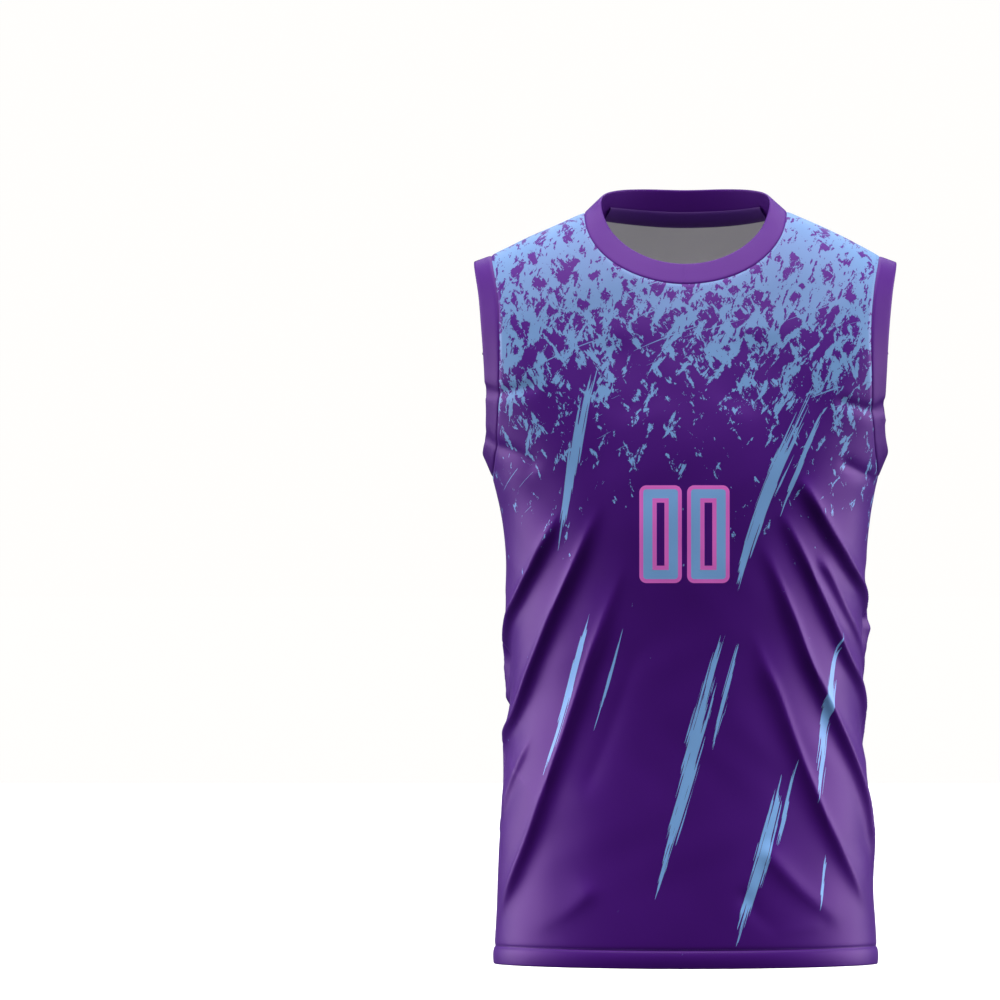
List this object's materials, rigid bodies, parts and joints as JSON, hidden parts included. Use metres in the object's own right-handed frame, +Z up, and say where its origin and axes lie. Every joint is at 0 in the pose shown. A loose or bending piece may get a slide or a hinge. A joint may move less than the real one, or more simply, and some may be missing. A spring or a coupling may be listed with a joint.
{
  "type": "basketball jersey",
  "caption": "Sleeveless crew-neck basketball jersey, filled out as worn and hollow, with neck band, armhole bands and soft drag folds.",
  "frame": {"origin": "midway between the two high shoulder points, where the shoulder line meets the neck band, which is where the wearer's shoulders hold the jersey up", "axes": "+X to the wearer's left, +Y out of the back, +Z up, along the wearer"},
  "size_m": [0.4226, 0.2557, 0.783],
  "materials": {
    "printed_knit": "satin",
    "plain_knit": "satin",
    "band_knit": "satin",
    "neck_tape": "matt"
  },
  "bodies": {
    "root": {"front": "printed_knit", "back": "plain_knit", "neck_band": "band_knit", "armhole_band_left": "band_knit", "armhole_band_right": "band_knit", "neck_tape": "neck_tape"}
  },
  "joints": []
}
